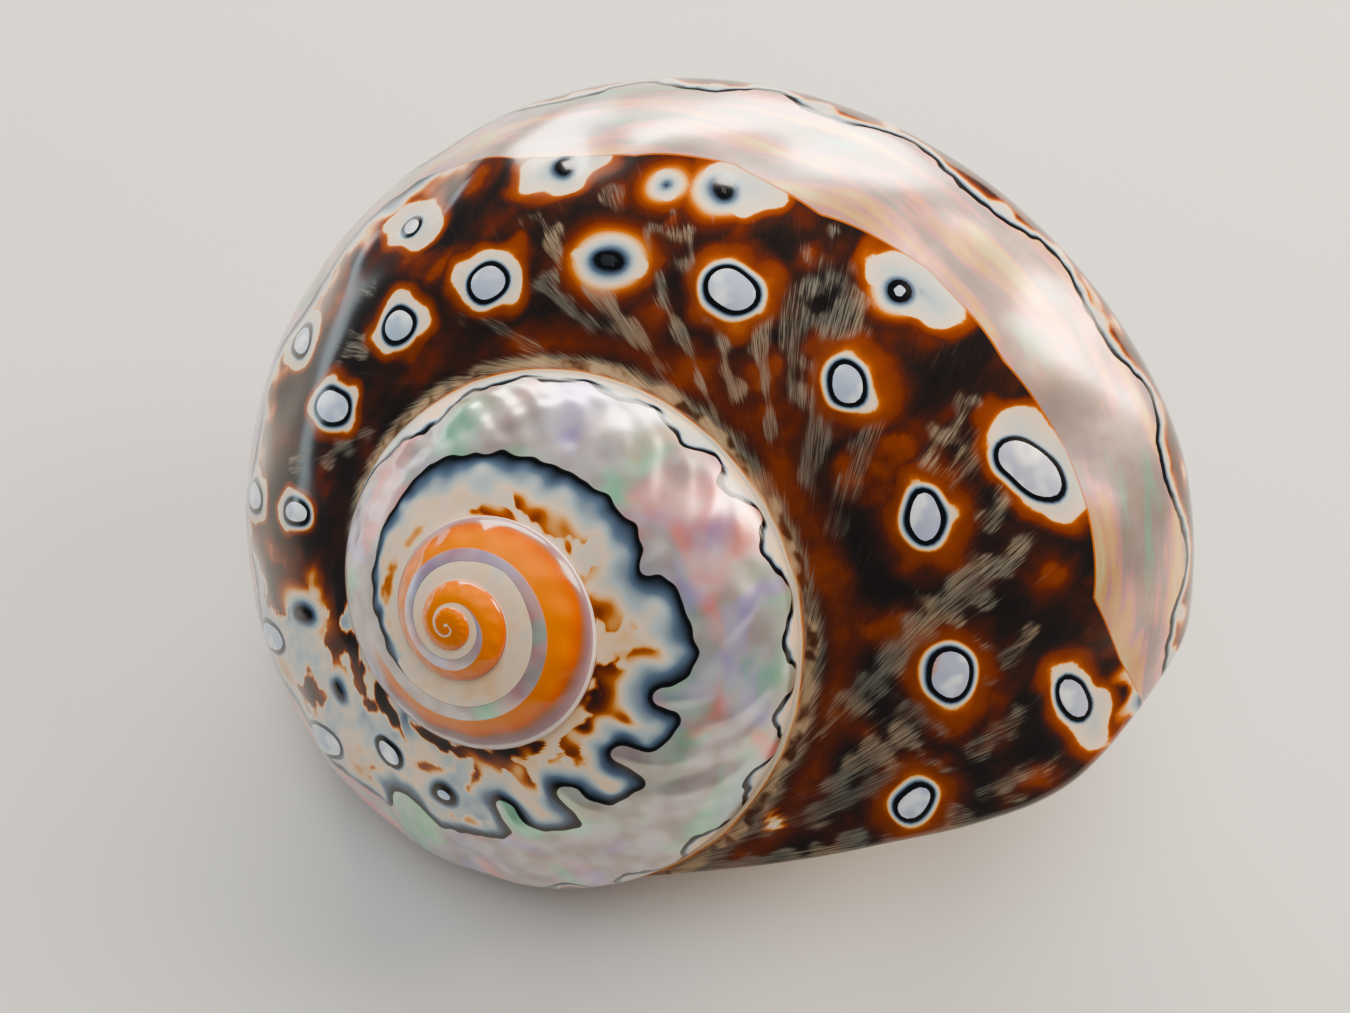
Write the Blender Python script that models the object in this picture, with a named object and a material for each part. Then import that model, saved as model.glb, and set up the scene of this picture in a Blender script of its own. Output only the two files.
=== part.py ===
"""Turban shell: one hollow coiled shell, resting mouth down, in metres with +Z up.

The shell grows about its own coil axis. In the shell's frame the apex is the
origin, the axis runs down -Z, and the whorls widen clockwise seen from above.
"""
import math

import bmesh
import bpy
import numpy as np

# Growth of the coil
SUTURE_RADIUS_AT_MOUTH = 0.0247
WHORL_GROWTH = 2.392
SUTURE_SLOPE = 0.733
MOUTH_TURN = math.radians(13.0)
GROWTH_RATE = math.log(WHORL_GROWTH) / (2 * math.pi)

# Section of a whorl, from its upper suture to the middle of the base: radius and
# depth, both in units of the radius of the upper suture
WHORL_SECTION = [
    (1.00, SUTURE_SLOPE),
    (1.57, 0.887),
    (2.035, 1.174),
    (2.360, 1.535),
    (WHORL_GROWTH, WHORL_GROWTH * SUTURE_SLOPE),
    (2.17, 2.29),
    (1.66, 2.62),
    (1.02, 2.70),
    (0.42, 2.50),
]
NEXT_SUTURE_POINT = 4
MOUTH_NARROWING = 0.052
MOUTH_NARROWS_FROM = math.radians(-86.0)
MOUTH_NARROWS_TO = math.radians(-54.0)

# Growth line: place on the section, and degrees that it lags behind the suture
GROWTH_LINE = [
    (0.0, 0.0),
    (0.041, 29.3),
    (0.128, 47.7),
    (0.210, 55.3),
    (0.300, 64.8),
    (0.359, 72.0),
    (0.459, 79.0),
    (0.650, 85.0),
    (1.0, 89.0),
]

# The apex is polished down by about this much, in the same units
APEX_WEAR = 0.05

# Low waves along the shoulder
SHOULDER_WAVES = 15
SHOULDER_WAVE_HEIGHT = 0.016
SHOULDER_PLACE = 0.27
SHOULDER_SPREAD = 0.05

# Wall of the mouth and the hollow behind it
LIP_WALL = 0.0030
PARIETAL_WALL = 0.0014
COLUMELLA_WALL = 0.0034
COLUMELLA_POINTS = 6
CALLUS_SWELL = 0.0016
CALLUS_ROWS = (0.3, 0.65)
LIP_ROUNDING = [(0.30, 0.0), (0.78, math.radians(1.2)), (1.0, math.radians(4.5))]
HOLLOW_RINGS = 20
HOLLOW_STEP = math.radians(11.0)

# Fineness of the facets
STEPS_PER_TURN = 60
GROWTH_STEPS = 234
RAMP_COLUMNS = 10
BASE_COLUMNS = 10

# Rest pose of the coil axis, and how much the two resting places are worn flat
SPIN = math.radians(-39.096)
LEAN = math.radians(37.575)
HEADING = math.radians(-34.128)
WORN_FLAT = 0.0005


def natural_spline(knots, values, at):
    """Smooth curve through the values at the knots, straight at both ends."""
    count = len(knots)
    gap = np.diff(knots)
    left = np.eye(count)
    right = np.zeros(values.shape)
    for i in range(1, count - 1):
        left[i, i - 1:i + 2] = gap[i - 1], 2 * (gap[i - 1] + gap[i]), gap[i]
        rise = (values[i + 1] - values[i]) / gap[i]
        right[i] = 6 * (rise - (values[i] - values[i - 1]) / gap[i - 1])
    bend = np.linalg.solve(left, right)
    i = np.clip(np.searchsorted(knots, at) - 1, 0, count - 2)
    near = (at - knots[i])[..., None]
    wide = gap[i][..., None]
    far = wide - near
    cubic = (bend[i] * far ** 3 + bend[i + 1] * near ** 3) / (6 * wide)
    start = (values[i] / wide - bend[i] * wide / 6) * far
    end = (values[i + 1] / wide - bend[i + 1] * wide / 6) * near
    return cubic + start + end


def section_knots():
    """Place of each section point between 0 at the suture and 1 at the base."""
    points = np.array(WHORL_SECTION)
    chords = np.hypot(*np.diff(points, axis=0).T)
    knots = np.concatenate([[0.0], np.cumsum(np.sqrt(chords))])
    return knots / knots[-1]


def ease(start, end, value):
    """Smooth step from 0 at start to 1 at end."""
    share = np.clip((value - start) / (end - start), 0, 1)
    return share * share * (3 - 2 * share)


def suture_radius(turn, tip):
    """Radius of the suture, growing by a fixed ratio each turn from the tip."""
    grown = np.exp(GROWTH_RATE * turn)
    start = math.exp(GROWTH_RATE * tip) * np.exp(-(turn - tip))
    return np.where(turn <= tip, 0.0, grown - start)


def whorl_surface(turn, place, tip):
    """Point of the outer wall: the section scaled between two turns of the suture."""
    section = natural_spline(section_knots(), np.array(WHORL_SECTION), place)
    upper = suture_radius(turn, tip)
    lower = suture_radius(turn + 2 * math.pi, tip)
    scale = (lower - upper) / (WHORL_GROWTH - 1)
    bell = np.exp(-((place - SHOULDER_PLACE) / SHOULDER_SPREAD) ** 2)
    wave = SHOULDER_WAVE_HEIGHT * np.cos(SHOULDER_WAVES * turn) * bell
    radius = upper + scale * (section[..., 0] - 1 + 0.8 * wave)
    depth = SUTURE_SLOPE * upper + scale * (section[..., 1] - SUTURE_SLOPE - wave)
    near_mouth = ease(MOUTH_NARROWS_FROM, MOUTH_NARROWS_TO, turn)
    radius = radius * (1 - MOUTH_NARROWING * near_mouth * ease(0.0, 0.25, place))
    depth = np.sqrt(depth ** 2 + APEX_WEAR ** 2)
    point = np.stack([radius * np.cos(turn), -radius * np.sin(turn), -depth], -1)
    return SUTURE_RADIUS_AT_MOUTH * point


def wall_normal(turn, place, tip):
    """Direction out of the outer wall."""
    reach = 1e-3
    along = whorl_surface(turn + reach, place, tip) - whorl_surface(turn - reach, place, tip)
    after = whorl_surface(turn, np.minimum(place + reach, 1), tip)
    before = whorl_surface(turn, np.maximum(place - reach, 0), tip)
    normal = np.cross(along, after - before)
    return normal / np.linalg.norm(normal, axis=-1, keepdims=True)


def moved_back(points, angle):
    """The points taken back along the coil: turned about the axis and shrunk."""
    cosine = math.cos(angle)
    sine = math.sin(angle)
    shrink = math.exp(-GROWTH_RATE * angle)
    x = cosine * points[..., 0] - sine * points[..., 1]
    y = sine * points[..., 0] + cosine * points[..., 1]
    return shrink * np.stack([x, y, points[..., 2]], -1)


def unit(vectors):
    """Vectors of length one."""
    return vectors / np.linalg.norm(vectors, axis=-1, keepdims=True)


class Skin:
    """Vertices and faces of one closed surface."""

    def __init__(self):
        self.points = []
        self.faces = []

    def point(self, place):
        self.points.append(np.asarray(place, float))
        return len(self.points) - 1

    def face(self, *corners):
        """Face with repeated corners dropped, left out when none is left."""
        ring = [corner for n, corner in enumerate(corners) if corner != corners[n - 1]]
        if len(set(ring)) >= 3:
            self.faces.append(tuple(ring))


def section_places():
    """Columns across the wall: the exposed part of a whorl, then the base."""
    seam = section_knots()[NEXT_SUTURE_POINT]
    ramp = seam * np.linspace(0, 1, RAMP_COLUMNS + 1) ** 1.5
    base = seam + (1 - seam) * np.linspace(0, 1, BASE_COLUMNS + 1)[1:]
    return np.concatenate([ramp, base])


def growth_lag(places):
    """Angle by which the growth line lags behind the suture at each place."""
    line = np.array(GROWTH_LINE)
    lag = natural_spline(np.sqrt(line[:, 0]), line[:, 1:], np.sqrt(places))
    return np.radians(lag[:, 0])


def outer_wall(skin):
    """All whorls as one skin along growth lines, each seated on the one before.

    A column lags behind the suture by the growth line. The lag at the seam is a
    whole number of steps, so that a whorl's first column is the seam column of
    the whorl before, with the same vertices.
    """
    step = 2 * math.pi / STEPS_PER_TURN
    places = section_places()
    lag = growth_lag(places)
    seam_steps = int(round(lag[RAMP_COLUMNS] / step))
    lag = lag * (seam_steps * step / lag[RAMP_COLUMNS])
    last = RAMP_COLUMNS + BASE_COLUMNS
    turns = MOUTH_TURN - step * np.arange(GROWTH_STEPS, -1, -1)
    tip = turns[0] + 2 * math.pi - seam_steps * step
    first_open = GROWTH_STEPS - STEPS_PER_TURN + seam_steps
    across = np.broadcast_to(places, (GROWTH_STEPS + 1, last + 1))
    grid = whorl_surface(turns[:, None] - lag[None, :], across, tip)

    apex = skin.point((0, 0, -SUTURE_RADIUS_AT_MOUTH * APEX_WEAR))
    ids = np.full((GROWTH_STEPS + 1, last + 1), apex)
    for row in range(1, GROWTH_STEPS + 1):
        whorl_before = row - STEPS_PER_TURN + seam_steps
        if whorl_before >= 0:
            ids[row, 0] = ids[whorl_before, RAMP_COLUMNS]
        columns = last if row >= first_open else RAMP_COLUMNS
        for column in range(1, columns + 1):
            ids[row, column] = skin.point(grid[row, column])
    for row in range(GROWTH_STEPS):
        columns = last if row >= first_open else RAMP_COLUMNS
        for column in range(columns):
            skin.face(ids[row, column], ids[row + 1, column],
                      ids[row + 1, column + 1], ids[row, column + 1])

    helix = [ids[row, last] for row in range(GROWTH_STEPS, first_open - 1, -1)]
    columella = callus(skin, helix)
    lip = [ids[GROWTH_STEPS, column] for column in range(last + 1)]
    inner_edge = [ids[first_open, column] for column in range(last, RAMP_COLUMNS, -1)]
    lip_normal = wall_normal(turns[GROWTH_STEPS] - lag, places, tip)
    seam_on = slice(RAMP_COLUMNS, None)
    inner_normal = wall_normal(turns[first_open] - lag[seam_on], places[seam_on], tip)
    return lip, columella, inner_edge, lip_normal, inner_normal


def join(skin, outer, inner):
    """Faces between two rows of the callus."""
    for k in range(len(outer) - 1):
        skin.face(outer[k + 1], outer[k], inner[k], inner[k + 1])


def callus(skin, helix):
    """The pad over the middle of the base, from the helix to the columella.

    The columella is a straight edge between the helix's two ends, and a swollen
    pad spans from each helix vertex to the edge's matching point.
    """
    low = skin.points[helix[0]]
    high = skin.points[helix[-1]]
    spans = len(helix) - 1
    edge = [helix[0]]
    for k in range(1, COLUMELLA_POINTS):
        edge.append(skin.point(low + (high - low) * k / COLUMELLA_POINTS))
    edge.append(helix[-1])
    match = [edge[int(round(k * COLUMELLA_POINTS / spans))] for k in range(spans + 1)]
    outer = helix
    for share in CALLUS_ROWS:
        inner = [helix[0]]
        for k in range(1, spans):
            on_edge = low + (high - low) * k / spans
            between = skin.points[helix[k]] * (1 - share) + on_edge * share
            swell = CALLUS_SWELL * math.sin(math.pi * k / spans) * math.sin(math.pi * share)
            inner.append(skin.point(between - np.array([0, 0, swell])))
        inner.append(helix[-1])
        join(skin, outer, inner)
        outer = inner
    join(skin, outer, match)
    return edge[1:-1]


def hollow(skin, lip, columella, inner_edge, lip_normal, inner_normal):
    """The mouth's thick edge, and the tube that follows the coil in from it."""
    loop = lip + columella + inner_edge
    edge = np.array([skin.points[corner] for corner in loop])
    toward = unit(edge.mean(axis=0) - edge)
    pillar = slice(len(lip), len(lip) + len(columella))
    inward = np.concatenate([-lip_normal, toward[pillar], inner_normal[:0:-1]])
    inward[0] = inner_normal[0] - lip_normal[0]
    wall = np.full(len(loop), PARIETAL_WALL)
    wall[:len(lip)] = LIP_WALL
    wall[pillar] = COLUMELLA_WALL
    wall[0] = 1.6 * PARIETAL_WALL
    inward = unit(inward) + 0.6 * toward
    for _ in range(3):
        inward = (np.roll(inward, 1, axis=0) + 2 * inward + np.roll(inward, -1, axis=0)) / 4
        wall = (np.roll(wall, 1) + 2 * wall + np.roll(wall, -1)) / 4
    inset = unit(inward) * wall[:, None]

    rings = [moved_back(edge + share * inset, angle) for share, angle in LIP_ROUNDING]
    start = LIP_ROUNDING[-1][1]
    for ring in range(1, HOLLOW_RINGS + 1):
        rings.append(moved_back(edge + inset, start + ring * HOLLOW_STEP))
    before = loop
    for ring in rings:
        now = [skin.point(place) for place in ring]
        for k in range(len(now)):
            after = (k + 1) % len(now)
            skin.face(before[after], before[k], now[k], now[after])
        before = now
    end = skin.point(moved_back(rings[-1], 0.6 * HOLLOW_STEP).mean(axis=0))
    for k in range(len(before)):
        skin.face(before[(k + 1) % len(before)], before[k], end)


def turned(points, axis, angle):
    """The points turned about the x or the z axis."""
    cosine = math.cos(angle)
    sine = math.sin(angle)
    if axis == "x":
        turn = np.array([[1, 0, 0], [0, cosine, -sine], [0, sine, cosine]])
    else:
        turn = np.array([[cosine, -sine, 0], [sine, cosine, 0], [0, 0, 1]])
    return points @ turn.T


def at_rest(points):
    """Shell-frame points laid mouth down, centred over the origin, floor at zero."""
    laid = turned(points, "z", SPIN)
    laid = turned(laid, "x", LEAN)
    laid = turned(laid, "z", HEADING)
    low = laid.min(axis=0)
    high = laid.max(axis=0)
    laid = laid - np.array([(low[0] + high[0]) / 2, (low[1] + high[1]) / 2, low[2]])
    laid[:, 2] = np.where(laid[:, 2] < WORN_FLAT, 0.0, laid[:, 2])
    return laid


def shell_material():
    """Brown and nacre seen together from a step away."""
    material = bpy.data.materials.new("polished_shell")
    material.use_nodes = True
    shader = material.node_tree.nodes["Principled BSDF"]
    shader.inputs["Base Color"].default_value = (0.42, 0.27, 0.18, 1.0)
    shader.inputs["Roughness"].default_value = 0.22
    shader.inputs["Coat Weight"].default_value = 0.5
    return material


def add_shell():
    """The turban shell as one closed, outward-facing object."""
    skin = Skin()
    edges = outer_wall(skin)
    hollow(skin, *edges)
    points = at_rest(np.array(skin.points))
    mesh = bpy.data.meshes.new("turban_shell")
    mesh.from_pydata([tuple(point) for point in points], [], skin.faces)
    work = bmesh.new()
    work.from_mesh(mesh)
    bmesh.ops.triangulate(work, faces=work.faces[:])
    bmesh.ops.recalc_face_normals(work, faces=work.faces[:])
    work.to_mesh(mesh)
    work.free()
    mesh.shade_smooth()
    mesh.materials.append(shell_material())
    shell = bpy.data.objects.new("turban_shell", mesh)
    bpy.context.scene.collection.objects.link(shell)


for item in list(bpy.data.objects):
    bpy.data.objects.remove(item, do_unlink=True)
add_shell()
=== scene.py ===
"""Looks of the turban shell: a polished, right-handed coil that rests mouth down."""
import math

import bpy
import numpy as np
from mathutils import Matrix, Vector


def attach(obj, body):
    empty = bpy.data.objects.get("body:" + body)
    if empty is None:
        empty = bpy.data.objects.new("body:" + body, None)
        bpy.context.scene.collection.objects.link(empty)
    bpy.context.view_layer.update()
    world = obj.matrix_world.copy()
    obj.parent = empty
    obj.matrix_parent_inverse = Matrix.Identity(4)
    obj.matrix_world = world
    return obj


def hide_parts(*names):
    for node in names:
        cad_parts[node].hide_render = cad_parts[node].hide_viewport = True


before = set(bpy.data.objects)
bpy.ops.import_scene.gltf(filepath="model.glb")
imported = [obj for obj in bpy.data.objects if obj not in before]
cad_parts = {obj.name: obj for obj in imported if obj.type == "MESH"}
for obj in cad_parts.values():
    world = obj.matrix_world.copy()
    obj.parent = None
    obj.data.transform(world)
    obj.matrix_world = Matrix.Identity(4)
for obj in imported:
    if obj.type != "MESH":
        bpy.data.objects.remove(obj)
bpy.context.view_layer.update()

# Outer wall of the coil
# One sheet of shell, grown by a fixed ratio each turn and ground smooth. Its brown
# outer layer is cut through to pearl on the keel and on two rows of low knobs. It is
# made in three lengths that meet along growth lines, and a base under the last whorl.
MM = 0.001
# Turns are degrees of the upper suture, near 0 at the mouth and less towards the tip.
# Places go from 0 at the upper suture to 1 where the base ends at the columella.
SUTURE_RADIUS_AT_MOUTH = 0.0247
WHORL_GROWTH = 2.392
SUTURE_SLOPE = 0.733
MOUTH_TURN = 13.0
GROWTH_RATE = math.log(WHORL_GROWTH) / 360.0
WHORL_SECTION = [
    (1.00, SUTURE_SLOPE), (1.57, 0.887), (2.035, 1.174), (2.360, 1.535),
    (WHORL_GROWTH, WHORL_GROWTH * SUTURE_SLOPE),
    (2.17, 2.29), (1.66, 2.62), (1.02, 2.70), (0.42, 2.50),
]
SEAM_POINT = 4
MOUTH_NARROWING = 0.052
NARROWING_TURNS = (-86.0, -54.0)
GROWTH_LINE = [
    (0.0, 0.0), (0.041, 29.3), (0.128, 47.7), (0.210, 55.3), (0.300, 64.8),
    (0.359, 72.0), (0.459, 79.0), (0.650, 85.0), (1.0, 89.0),
]
APEX_WEAR = 0.035
SHOULDER_WAVES = 15
SHOULDER_WAVE_HEIGHT = 0.016
SHOULDER_WAVE_OUTWARD = 0.8
SHOULDER_PLACE = 0.27
SHOULDER_SPREAD = 0.05
STEPS_PER_TURN = 600
STEP = 360.0 / STEPS_PER_TURN
GROWTH_STEPS = 3000
RAMP_COLUMNS = 80
BASE_COLUMNS = 60
LIP_ROUND = 0.0009
LIP_ROUND_TURN = 1.4
SPIN = math.radians(-39.096)
LEAN = math.radians(37.575)
HEADING = math.radians(-34.128)
WORN_FLAT = 0.0005


def natural_spline(knots, values, at):
    """Cubic curve through the values at the knots, with no bend at either end."""
    count = len(knots)
    gap = np.diff(knots)
    left = np.eye(count)
    right = np.zeros(values.shape)
    for i in range(1, count - 1):
        left[i, i - 1:i + 2] = gap[i - 1], 2 * (gap[i - 1] + gap[i]), gap[i]
        rise = (values[i + 1] - values[i]) / gap[i]
        right[i] = 6 * (rise - (values[i] - values[i - 1]) / gap[i - 1])
    bend = np.linalg.solve(left, right)
    i = np.clip(np.searchsorted(knots, at) - 1, 0, count - 2)
    near = (at - knots[i])[..., None]
    wide = gap[i][..., None]
    far = wide - near
    cubic = (bend[i] * far ** 3 + bend[i + 1] * near ** 3) / (6 * wide)
    start = (values[i] / wide - bend[i] * wide / 6) * far
    end = (values[i + 1] / wide - bend[i + 1] * wide / 6) * near
    return cubic + start + end


def ease(start, end, value):
    """Smooth step: three times the share squared, less twice the share cubed."""
    share = np.clip((value - start) / (end - start), 0, 1)
    return share * share * (3 - 2 * share)


section = np.array(WHORL_SECTION)
section_knots = np.concatenate([[0], np.cumsum(np.sqrt(np.hypot(*np.diff(section, axis=0).T)))])
section_knots = section_knots / section_knots[-1]
SEAM = section_knots[SEAM_POINT]


def growth_lag(place):
    """Degrees that the growth line lags behind the suture at each place."""
    line = np.array(GROWTH_LINE)
    return natural_spline(np.sqrt(line[:, 0]), line[:, 1:], np.sqrt(place))[..., 0]


SEAM_STEPS = int(round(float(growth_lag(np.array(SEAM))) / STEP))
LAG_SCALE = SEAM_STEPS * STEP / float(growth_lag(np.array(SEAM)))
FIRST_TURN = MOUTH_TURN - GROWTH_STEPS * STEP
TIP_TURN = FIRST_TURN + 360 - SEAM_STEPS * STEP
FIRST_OPEN = GROWTH_STEPS - STEPS_PER_TURN + SEAM_STEPS


def suture_radius(turn):
    """Radius of the suture: a fixed ratio each turn, eased to nothing at the tip."""
    start = math.exp(GROWTH_RATE * TIP_TURN) * np.exp(-np.radians(np.maximum(turn - TIP_TURN, 0)))
    return np.where(turn <= TIP_TURN, 0.0, np.exp(GROWTH_RATE * turn) - start)


def whorl_surface(turn, place):
    """Point of the wall: the section, scaled between two turns of the suture.

    The radius and the depth of the section at this place are stretched from the
    upper suture to the lower one, and carried round the axis to this turn.
    """
    shape = natural_spline(section_knots, section, place)
    upper = suture_radius(turn)
    lower = suture_radius(turn + 360)
    scale = (lower - upper) / (WHORL_GROWTH - 1)
    bell = np.exp(-((place - SHOULDER_PLACE) / SHOULDER_SPREAD) ** 2)
    wave = SHOULDER_WAVE_HEIGHT * np.cos(SHOULDER_WAVES * np.radians(turn)) * bell
    radius = upper + scale * (shape[..., 0] - 1 + SHOULDER_WAVE_OUTWARD * wave)
    depth = SUTURE_SLOPE * upper + scale * (shape[..., 1] - SUTURE_SLOPE - wave)
    narrow = ease(*NARROWING_TURNS, turn) * ease(0.0, 0.25, place)
    radius = radius * (1 - MOUTH_NARROWING * narrow)
    depth = np.sqrt(depth ** 2 + APEX_WEAR ** 2)
    angle = np.radians(turn)
    point = np.stack([radius * np.cos(angle), -radius * np.sin(angle), -depth], -1)
    return SUTURE_RADIUS_AT_MOUTH * point


def slopes(turn, place):
    """Surface vectors per degree of turn and per unit of place, by differences."""
    reach = 1e-3
    along = whorl_surface(turn + 1, place) - whorl_surface(turn - 1, place)
    high = np.minimum(place + reach, 1)
    low = np.maximum(place - reach, 0)
    across = whorl_surface(turn, high) - whorl_surface(turn, low)
    return along / 2, across / (high - low)[..., None]


def unit(vectors):
    """Vectors of length one."""
    return vectors / np.maximum(np.linalg.norm(vectors, axis=-1, keepdims=True), 1e-12)


def ripple(points, size, seed, waves=24):
    """Smooth random field with spread one: cosines of plane waves about size long."""
    dice = np.random.default_rng(seed)
    directions = unit(dice.normal(size=(points.shape[-1], waves)).T).T
    lengths = size * dice.uniform(0.7, 1.6, waves)
    phases = dice.uniform(0, 2 * math.pi, waves)
    angles = points @ (2 * math.pi * directions / lengths) + phases
    return np.cos(angles).sum(axis=-1) * math.sqrt(2 / waves)


# Knobs above the keel, ground through to fingers of pearl: turn, place and radius in mm
INNER_KNOBS = [
    (-446, 0.132, 0.6), (-405.5, 0.128, 0.75), (-383, 0.112, 0.85),
    (-360, 0.11, 0.9), (-338.5, 0.112, 0.8), (-311, 0.199, 2.1),
]
GROWTH_LEAN = 0.4
LOBE_RADIUS = 1.8
# Low knobs of the shoulder, each ground to an eye: turn, place, half-length, half-width
# and tilt of its pearl, the same of the pale oval round it, how far that is shifted along
# and across the turns, the width of the orange, and the kind of eye
EYES = [
    (-319, 0.11, 0.6, 0.4, 175, 1.7, 1.2, 175, 0, 0, 0, 2),
    (-299.5, 0.096, 1.3, 0.75, 162, 2, 1.4, 162, 0, 0, 0, 1),
    (-277.5, 0.096, 0.7, 0.35, 165, 1.6, 1.1, 165, 0, 0, 0, 0),
    (-257, 0.108, 1.2, 0.6, 90, 2.2, 1.7, 90, 0, 0, 0.2, 0),
    (-233.5, 0.112, 1.4, 0.75, 107, 2.5, 1.5, 106, 0, 0.3, 0.5, 1),
    (-208.5, 0.106, 1.9, 1.2, 122, 2.9, 2, 121, 0, 0.2, 0.7, 1),
    (-186.5, 0.108, 1.5, 1.1, 131, 2.7, 2.1, 140, 0.1, 0.2, 0.8, 1),
    (-166.5, 0.103, 1.5, 1.2, 144, 3.1, 2.3, 157, 0.1, 0.3, 0.9, 1),
    (-144.5, 0.114, 1.3, 0.8, 168, 2.7, 1.5, 176, 0, 0.1, 1, 0),
    (-124.3, 0.121, 1.9, 1.4, 160, 2.55, 1.75, 156, 0.1, 0.1, 1.4, 1),
    (-102.6, 0.119, 1.5, 1, 150, 2, 1.4, 161, 0.15, 0.3, 1.8, 1),
    (-81.3, 0.119, 1.8, 1, 161, 2.2, 1.25, 160, 0, 0.25, 1.8, 1),
    (-59.7, 0.126, 1.8, 1.45, 2, 2.1, 1.5, 2, 0.35, 0.1, 1.9, 1),
    (-41, 0.12, 1.5, 1, 161, 1.75, 1.2, 164, 0, 0, 2, 1),
    (-21, 0.122, 1.6, 1.1, 160, 1.9, 1.3, 160, 0, 0, 1.8, 1),
    (-285, 0.226, 2.7, 1.5, 66, 3.4, 2.2, 66, 0, 0.3, 0, 1),
    (-262, 0.232, 2.4, 1.2, 80, 3.2, 2, 80, 0, 0.3, 0.3, 1),
    (-236, 0.24, 1.8, 1, 90, 3.4, 2.2, 90, 0, 0.3, 0.4, 1),
    (-208, 0.243, 1.7, 1, 100, 3.6, 2.4, 100, 0, 0.3, 0.5, 1),
    (-181.5, 0.233, 0.9, 0.6, 121, 3.4, 2.5, 125, 0.4, 0.2, 0.7, 1),
    (-156.7, 0.233, 1, 0.7, 128, 3.8, 2.6, 13, 0, -0.1, 0.8, 0),
    (-134, 0.217, 1.1, 0.75, 133, 3.2, 2.3, 170, 1, 0.9, 0.8, 0),
    (-141, 0.207, 0.1, 0.1, 124, 1.7, 1.1, 124, 0, 0, 0.8, 0),
    (-108.8, 0.215, 0.42, 0.36, 122, 4.1, 2.7, 12, 0.5, 1.2, 0.8, 2),
    (-84, 0.221, 2.8, 1.6, 38, 4.6, 3.1, 26, -0.2, 0.9, 1, 1),
    (-57.8, 0.255, 1.9, 1.05, 45, 4.2, 1.9, 44, 0.5, 0.9, 1.2, 1),
    (-38, 0.232, 1.5, 0.9, 60, 2.6, 1.5, 60, 0.3, 0.3, 1.2, 1),
]
# Rows of eyes on the base: place, first turn, degrees apart, half-length, half-width
BASE_ROWS = [(0.475, -352, 17, 1.3, 0.8), (0.545, -345, 21, 1.7, 1.1), (0.635, -338, 24, 1.5, 1)]
BASE_EYES = [
    (first + apart * n, across, long, short, 40, long + 0.9, short + 0.7, 40, 0.1, 0.1, 0.8, 1)
    for across, first, apart, long, short in BASE_ROWS
    for n in range(int((8 - first) / apart))
]
# Width of the black ring and steepness beyond it: slate with no pearl, pearl, wide blue
EYE_KINDS = ((0.55, 0.75), (0.75, 2.3), (1.2, 0.9))
# Edge where the ground pearl of the keel begins: turn and place. A black line along it
# comes in over the two turns after the table.
RAMP_EDGE = [
    (-1900, 0.06), (-1240, 0.07), (-868, 0.1), (-835, 0.125), (-800, 0.11), (-626, 0.1),
    (-587, 0.122), (-560, 0.142), (-540, 0.162), (-520, 0.152), (-504, 0.144), (-452, 0.146),
    (-438, 0.162), (-420, 0.184), (-400, 0.174), (-345, 0.174), (-320, 0.195), (-300, 0.245),
    (-277, 0.285), (-230, 0.3), (-200, 0.31), (-150, 0.34), (400, 0.34),
]
BLACK_LINE_STARTS = (-655, -640)
# Edge of the pearl on the body whorl, cut clean with no black line
KEEL_EDGE = [
    (-1900, 0.6), (-205, 0.6), (-196, 0.36), (-180, 0.315), (-164, 0.258), (-147, 0.239),
    (-135, 0.253), (-122, 0.231), (-109, 0.255), (-96, 0.245), (-85, 0.261), (-69, 0.261),
    (-62, 0.299), (-58, 0.329), (-45, 0.4), (-20, 0.6), (400, 0.6),
]
KEEL_MIDDLE = 0.43
# Black wavy line where the brown layer begins again below the keel
RIM_EDGE = [
    (-1900, 0.6), (-640, 0.6), (-600, 0.4), (-580, 0.345), (-564, 0.315), (-547, 0.28),
    (-537, 0.288), (-530, 0.33), (-520, 0.352), (-504, 0.368), (-471, 0.362), (-431, 0.4),
    (-390, 0.388), (-345, 0.368), (-300, 0.366), (-140, 0.366), (-60, 0.368), (400, 0.368),
]
RIM_WAVE_TURN = 16.4
RIM_WAVE_CREST = -87.5
RIM_SWING = 0.014
ADDED_RIM_SWING = 0.024
# Orange band of the early whorls: turn, then place of its two edges and of the mauve
ORANGE_BAND = [
    (-1900, 0.04, 0.459, 0.459), (-1300, 0.04, 0.459, 0.459), (-1240, 0.05, 0.459, 0.459),
    (-1160, 0.094, 0.45, 0.459), (-1120, 0.148, 0.4, 0.44), (-1060, 0.2, 0.34, 0.42),
    (-975, 0.19, 0.32, 0.4), (-905, 0.172, 0.305, 0.38), (-850, 0.172, 0.333, 0.425),
    (-800, 0.17, 0.34, 0.418), (-750, 0.172, 0.275, 0.375), (-700, 0.168, 0.247, 0.315),
    (-663, 0.168, 0.235, 0.29), (-642, 0.156, 0.206, 0.27), (-622, 0.16, 0.188, 0.255),
    (-600, 0.175, 0.18, 0.245), (-585, 0.18, 0.1805, 0.23),
    (-562, 0.19, 0.1905, 0.191), (400, 0.19, 0.1905, 0.191),
]
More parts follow.
